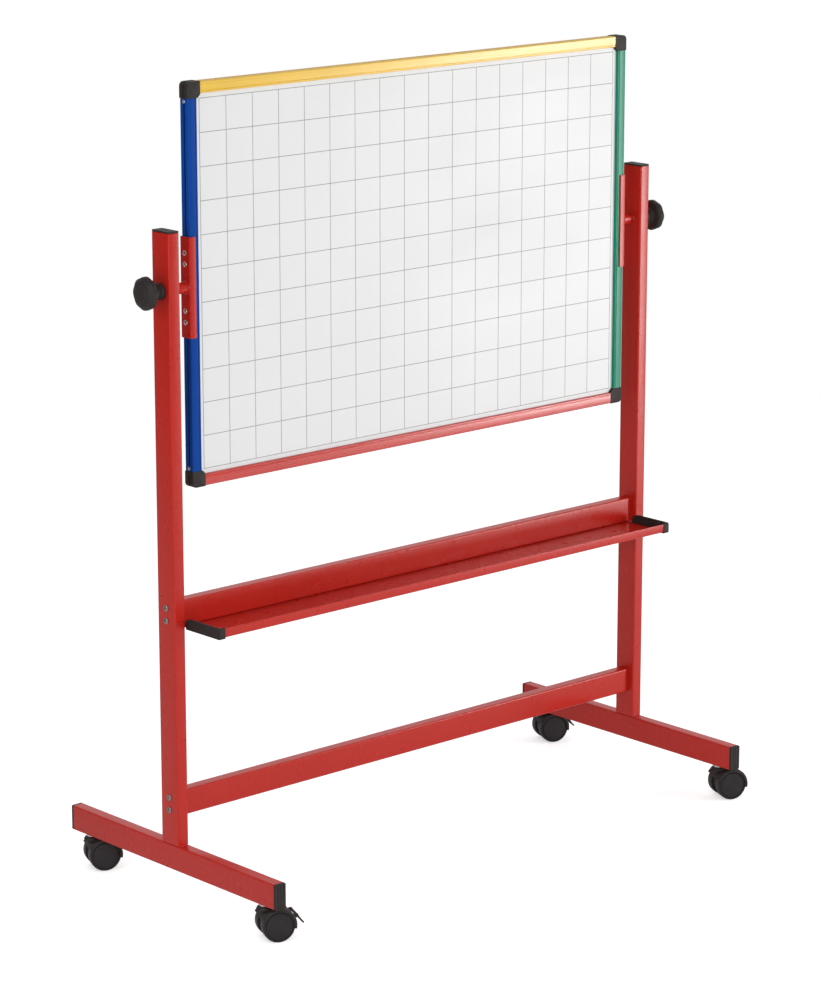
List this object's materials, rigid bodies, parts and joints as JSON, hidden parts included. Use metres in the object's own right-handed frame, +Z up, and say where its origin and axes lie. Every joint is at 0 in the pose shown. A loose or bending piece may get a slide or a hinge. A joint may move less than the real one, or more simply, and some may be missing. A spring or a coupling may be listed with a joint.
{
  "type": "rolling whiteboard",
  "caption": "Free-standing double-sided whiteboard that turns over between two uprights on castor feet, with a marker tray.",
  "frame": {"origin": "on the floor, under the middle of the stand", "axes": "+X along the board towards the right upright, front writing face towards -Y, +Z up"},
  "size_m": [1.0808, 0.4926, 1.2426],
  "materials": {
    "red_coat": "semi-gloss powder coat",
    "red_rail_coat": "satin lacquer on extrusion",
    "yellow_coat": "satin lacquer on extrusion",
    "blue_coat": "satin lacquer on extrusion",
    "green_coat": "satin lacquer on extrusion",
    "black_plastic": "fine moulded texture",
    "wheel_plastic": "smooth nylon",
    "bright_steel": "zinc plated",
    "white_enamel": "gloss white with thin grey squares",
    "fibreboard": "raw fibreboard"
  },
  "bodies": {
    "stand": {"upright_left": "red_coat", "upright_right": "red_coat", "foot_left": "red_coat", "foot_right": "red_coat", "cross_bar": "red_coat", "tray_bar": "red_coat", "tray_shelf": "red_coat", "tray_end_cap_left": "black_plastic", "tray_end_cap_right": "black_plastic", "upright_cap_left": "black_plastic", "upright_cap_right": "black_plastic", "foot_plug_front_left": "black_plastic", "foot_plug_front_right": "black_plastic", "foot_plug_back_left": "black_plastic", "foot_plug_back_right": "black_plastic", "cross_bolt_lower_left": "bright_steel", "cross_bolt_lower_right": "bright_steel", "cross_bolt_upper_left": "bright_steel", "cross_bolt_upper_right": "bright_steel", "tray_bolt_lower_left": "bright_steel", "tray_bolt_lower_right": "bright_steel", "tray_bolt_upper_left": "bright_steel", "tray_bolt_upper_right": "bright_steel", "castor_stem_front_left": "bright_steel", "castor_stem_front_right": "bright_steel", "castor_stem_back_left": "bright_steel", "castor_stem_back_right": "bright_steel"},
    "board": {"rail_top": "yellow_coat", "rail_bottom": "red_rail_coat", "rail_left": "blue_coat", "rail_right": "green_coat", "corner_cap_top_left": "black_plastic", "corner_cap_top_right": "black_plastic", "corner_cap_bottom_left": "black_plastic", "corner_cap_bottom_right": "black_plastic", "board_core": "fibreboard", "front_sheet": "white_enamel", "back_sheet": "white_enamel", "pivot_bracket_left": "red_coat", "pivot_bracket_right": "red_coat"},
    "knob_left": {"knob_left": "black_plastic"},
    "knob_right": {"knob_right": "black_plastic"},
    "castor_front_left": {"castor_housing_front_left": "black_plastic", "castor_axle_front_left": "bright_steel"},
    "wheel_a_front_left": {"castor_wheel_a_front_left": "wheel_plastic"},
    "wheel_b_front_left": {"castor_wheel_b_front_left": "wheel_plastic"},
    "brake_front_left": {"brake_lever_front_left": "black_plastic"},
    "castor_front_right": {"castor_housing_front_right": "black_plastic", "castor_axle_front_right": "bright_steel"},
    "wheel_a_front_right": {"castor_wheel_a_front_right": "wheel_plastic"},
    "wheel_b_front_right": {"castor_wheel_b_front_right": "wheel_plastic"},
    "castor_back_left": {"castor_housing_back_left": "black_plastic", "castor_axle_back_left": "bright_steel"},
    "wheel_a_back_left": {"castor_wheel_a_back_left": "wheel_plastic"},
    "wheel_b_back_left": {"castor_wheel_b_back_left": "wheel_plastic"},
    "castor_back_right": {"castor_housing_back_right": "black_plastic", "castor_axle_back_right": "bright_steel"},
    "wheel_a_back_right": {"castor_wheel_a_back_right": "wheel_plastic"},
    "wheel_b_back_right": {"castor_wheel_b_back_right": "wheel_plastic"},
    "brake_back_right": {"brake_lever_back_right": "black_plastic"}
  },
  "joints": [
    {"name": "board_turn", "type": "hinge", "parent": "stand", "child": "board", "pos_m": [0, 0, 0.942], "axis": [1, 0, 0], "continuous": true},
    {"name": "knob_left_turn", "type": "hinge", "parent": "board", "child": "knob_left", "pos_m": [-0.4978, 0, 0.942], "axis": [-1, 0, 0], "range_deg": [0, 540]},
    {"name": "knob_right_turn", "type": "hinge", "parent": "board", "child": "knob_right", "pos_m": [0.4978, 0, 0.942], "axis": [1, 0, 0], "range_deg": [0, 540]},
    {"name": "castor_front_left_swivel", "type": "hinge", "parent": "stand", "child": "castor_front_left", "pos_m": [-0.4875, -0.209, 0.056], "axis": [0, 0, 1], "continuous": true},
    {"name": "wheel_a_front_left_roll", "type": "hinge", "parent": "castor_front_left", "child": "wheel_a_front_left", "pos_m": [-0.47267, -0.21499, 0.025], "axis": [0.3746, 0.9272, 0], "continuous": true},
    {"name": "wheel_b_front_left_roll", "type": "hinge", "parent": "castor_front_left", "child": "wheel_b_front_left", "pos_m": [-0.47267, -0.21499, 0.025], "axis": [0.3746, 0.9272, 0], "continuous": true},
    {"name": "brake_front_left_lift", "type": "hinge", "parent": "castor_front_left", "child": "brake_front_left", "pos_m": [-0.44578, -0.22586, 0.037], "axis": [-0.3746, -0.9272, 0], "range_deg": [0, 25]},
    {"name": "castor_front_right_swivel", "type": "hinge", "parent": "stand", "child": "castor_front_right", "pos_m": [0.4875, -0.209, 0.056], "axis": [0, 0, 1], "continuous": true},
    {"name": "wheel_a_front_right_roll", "type": "hinge", "parent": "castor_front_right", "child": "wheel_a_front_right", "pos_m": [0.50233, -0.21499, 0.025], "axis": [0.3746, 0.9272, 0], "continuous": true},
    {"name": "wheel_b_front_right_roll", "type": "hinge", "parent": "castor_front_right", "child": "wheel_b_front_right", "pos_m": [0.50233, -0.21499, 0.025], "axis": [0.3746, 0.9272, 0], "continuous": true},
    {"name": "castor_back_left_swivel", "type": "hinge", "parent": "stand", "child": "castor_back_left", "pos_m": [-0.4875, 0.209, 0.056], "axis": [0, 0, 1], "continuous": true},
    {"name": "wheel_a_back_left_roll", "type": "hinge", "parent": "castor_back_left", "child": "wheel_a_back_left", "pos_m": [-0.47267, 0.20301, 0.025], "axis": [0.3746, 0.9272, 0], "continuous": true},
    {"name": "wheel_b_back_left_roll", "type": "hinge", "parent": "castor_back_left", "child": "wheel_b_back_left", "pos_m": [-0.47267, 0.20301, 0.025], "axis": [0.3746, 0.9272, 0], "continuous": true},
    {"name": "castor_back_right_swivel", "type": "hinge", "parent": "stand", "child": "castor_back_right", "pos_m": [0.4875, 0.209, 0.056], "axis": [0, 0, 1], "continuous": true},
    {"name": "wheel_a_back_right_roll", "type": "hinge", "parent": "castor_back_right", "child": "wheel_a_back_right", "pos_m": [0.50233, 0.20301, 0.025], "axis": [0.3746, 0.9272, 0], "continuous": true},
    {"name": "wheel_b_back_right_roll", "type": "hinge", "parent": "castor_back_right", "child": "wheel_b_back_right", "pos_m": [0.50233, 0.20301, 0.025], "axis": [0.3746, 0.9272, 0], "continuous": true},
    {"name": "brake_back_right_lift", "type": "hinge", "parent": "castor_back_right", "child": "brake_back_right", "pos_m": [0.52922, 0.19214, 0.037], "axis": [-0.3746, -0.9272, 0], "range_deg": [0, 25]}
  ]
}
